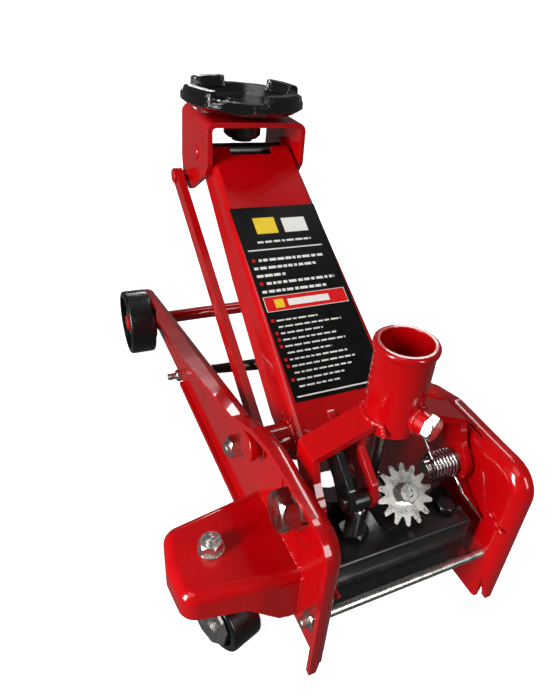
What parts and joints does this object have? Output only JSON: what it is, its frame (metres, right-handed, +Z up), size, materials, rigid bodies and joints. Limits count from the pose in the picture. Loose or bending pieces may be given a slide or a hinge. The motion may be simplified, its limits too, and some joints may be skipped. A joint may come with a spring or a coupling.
{
  "type": "hydraulic floor jack",
  "caption": "Wheeled hydraulic floor jack with a parallelogram lift arm, turning saddle, handle socket, pump and release valve, and swivelling rear casters.",
  "frame": {"origin": "on the floor under the middle of the bounding box", "axes": "+Z up, +Y towards the lifting end, +X to the right seen from the handle"},
  "size_m": [0.3438, 0.5594, 0.3604],
  "materials": {
    "red_paint": "glossy red enamel",
    "zinc": "bright zinc plating",
    "nickel": "dull nickel plating",
    "bright_steel": "ground and polished steel",
    "black_paint": "black enamel",
    "spring_steel": "oiled spring wire",
    "black_plastic": "moulded black nylon",
    "panel_film": "printed film"
  },
  "bodies": {
    "chassis": {"left_side_plate": "red_paint", "right_side_plate": "red_paint", "left_caster_bracket": "red_paint", "right_caster_bracket": "red_paint", "front_axle": "red_paint", "axle_washers": "zinc", "rear_tie_rod": "zinc", "tie_rod_nuts": "zinc", "front_tie_bolt": "zinc", "tie_bolt_nuts": "zinc", "yoke_bolts": "nickel", "yoke_lock_washers": "nickel", "yoke_spacers": "red_paint", "link_bolts": "zinc", "link_nuts": "zinc", "caster_bolts": "zinc", "caster_nuts": "zinc", "unit_base": "black_paint", "ram_cylinder": "black_paint", "cylinder_gland": "black_paint", "pump_gland": "black_paint", "filler_plug": "black_paint", "unit_bolts": "zinc", "guide_rod": "bright_steel", "torsion_spring": "spring_steel", "return_springs": "spring_steel"},
    "lift_arm": {"lift_arm": "red_paint", "arm_shaft": "red_paint", "shaft_clips": "red_paint", "ram_roller": "bright_steel", "roller_pin": "zinc", "arm_panel": "panel_film", "spring_pin": "zinc"},
    "head": {"head_bracket": "red_paint", "head_pin": "black_paint", "head_pin_caps": "red_paint", "link_top_pins": "red_paint"},
    "saddle": {"saddle": "black_paint", "saddle_stem": "black_paint"},
    "links": {"left_link": "red_paint", "right_link": "red_paint"},
    "handle_yoke": {"handle_socket": "red_paint", "yoke_strap": "red_paint", "pump_cheeks": "red_paint", "pump_roller": "black_paint", "pump_roller_pin": "zinc", "clamp_bolt": "zinc"},
    "pump_plunger": {"pump_plunger": "bright_steel"},
    "ram": {"ram": "bright_steel"},
    "release_valve": {"valve_stem": "zinc", "valve_gear": "zinc", "gear_nut": "zinc"},
    "left_front_wheel": {"left_front_wheel": "black_plastic"},
    "right_front_wheel": {"right_front_wheel": "black_plastic"},
    "left_caster": {"left_caster_fork": "zinc", "left_caster_axle": "zinc"},
    "right_caster": {"right_caster_fork": "zinc", "right_caster_axle": "zinc"},
    "left_caster_wheel": {"left_caster_wheel": "black_plastic"},
    "right_caster_wheel": {"right_caster_wheel": "black_plastic"}
  },
  "joints": [
    {"name": "lift_hinge", "type": "hinge", "parent": "chassis", "child": "lift_arm", "pos_m": [0, -0.13975, 0.136], "axis": [1, 0, 0], "range_deg": [-42.2, 40.9], "deforming": ["return_springs"]},
    {"name": "head_hinge", "type": "hinge", "parent": "lift_arm", "child": "head", "pos_m": [0, 0.13339, 0.29689], "axis": [1, 0, 0], "range_deg": [-41.1, 42.4]},
    {"name": "link_hinge", "type": "hinge", "parent": "chassis", "child": "links", "pos_m": [0, -0.09775, 0.098], "axis": [1, 0, 0], "range_deg": [-42.4, 41.1]},
    {"name": "saddle_turn", "type": "hinge", "parent": "head", "child": "saddle", "pos_m": [0, 0.13939, 0.33439], "axis": [0, 0, 1], "continuous": true},
    {"name": "yoke_hinge", "type": "hinge", "parent": "chassis", "child": "handle_yoke", "pos_m": [0, -0.21475, 0.138], "axis": [1, 0, 0], "range_deg": [0, 55], "stiffness_Nm_per_rad": 2, "springref_deg": -34.38, "deforming": ["torsion_spring"]},
    {"name": "pump_slide", "type": "slide", "parent": "chassis", "child": "pump_plunger", "axis": [0, 0, 1], "range_m": [-0.0168, 0]},
    {"name": "ram_slide", "type": "slide", "parent": "chassis", "child": "ram", "axis": [0, 1, 0], "range_m": [-0.0316, 0.0307]},
    {"name": "valve_turn", "type": "hinge", "parent": "chassis", "child": "release_valve", "pos_m": [0.006, -0.22735, 0.131], "axis": [0, -0.6157, 0.788], "range_deg": [0, 270]},
    {"name": "left_wheel_spin", "type": "hinge", "parent": "chassis", "child": "left_front_wheel", "pos_m": [-0.112, 0.23725, 0.0425], "axis": [1, 0, 0], "continuous": true},
    {"name": "left_caster_swivel", "type": "hinge", "parent": "chassis", "child": "left_caster", "pos_m": [-0.136, -0.18775, 0.07], "axis": [0, 0, 1], "continuous": true},
    {"name": "left_caster_wheel_spin", "type": "hinge", "parent": "left_caster", "child": "left_caster_wheel", "pos_m": [-0.12779, -0.2103, 0.025], "axis": [0.9397, 0.342, 0], "continuous": true},
    {"name": "right_wheel_spin", "type": "hinge", "parent": "chassis", "child": "right_front_wheel", "pos_m": [0.112, 0.23725, 0.0425], "axis": [1, 0, 0], "continuous": true},
    {"name": "right_caster_swivel", "type": "hinge", "parent": "chassis", "child": "right_caster", "pos_m": [0.136, -0.18775, 0.07], "axis": [0, 0, 1], "continuous": true},
    {"name": "right_caster_wheel_spin", "type": "hinge", "parent": "right_caster", "child": "right_caster_wheel", "pos_m": [0.12779, -0.2103, 0.025], "axis": [0.9397, -0.342, 0], "continuous": true}
  ],
  "couplings": [
    {"joint": "head_hinge", "follows": "lift_hinge", "ratio": -1},
    {"joint": "link_hinge", "follows": "lift_hinge", "ratio": 1},
    {"joint": "ram_slide", "follows": "lift_hinge", "m_per_rad": 0.0422},
    {"joint": "pump_slide", "follows": "yoke_hinge", "m_per_rad": -0.0172}
  ]
}
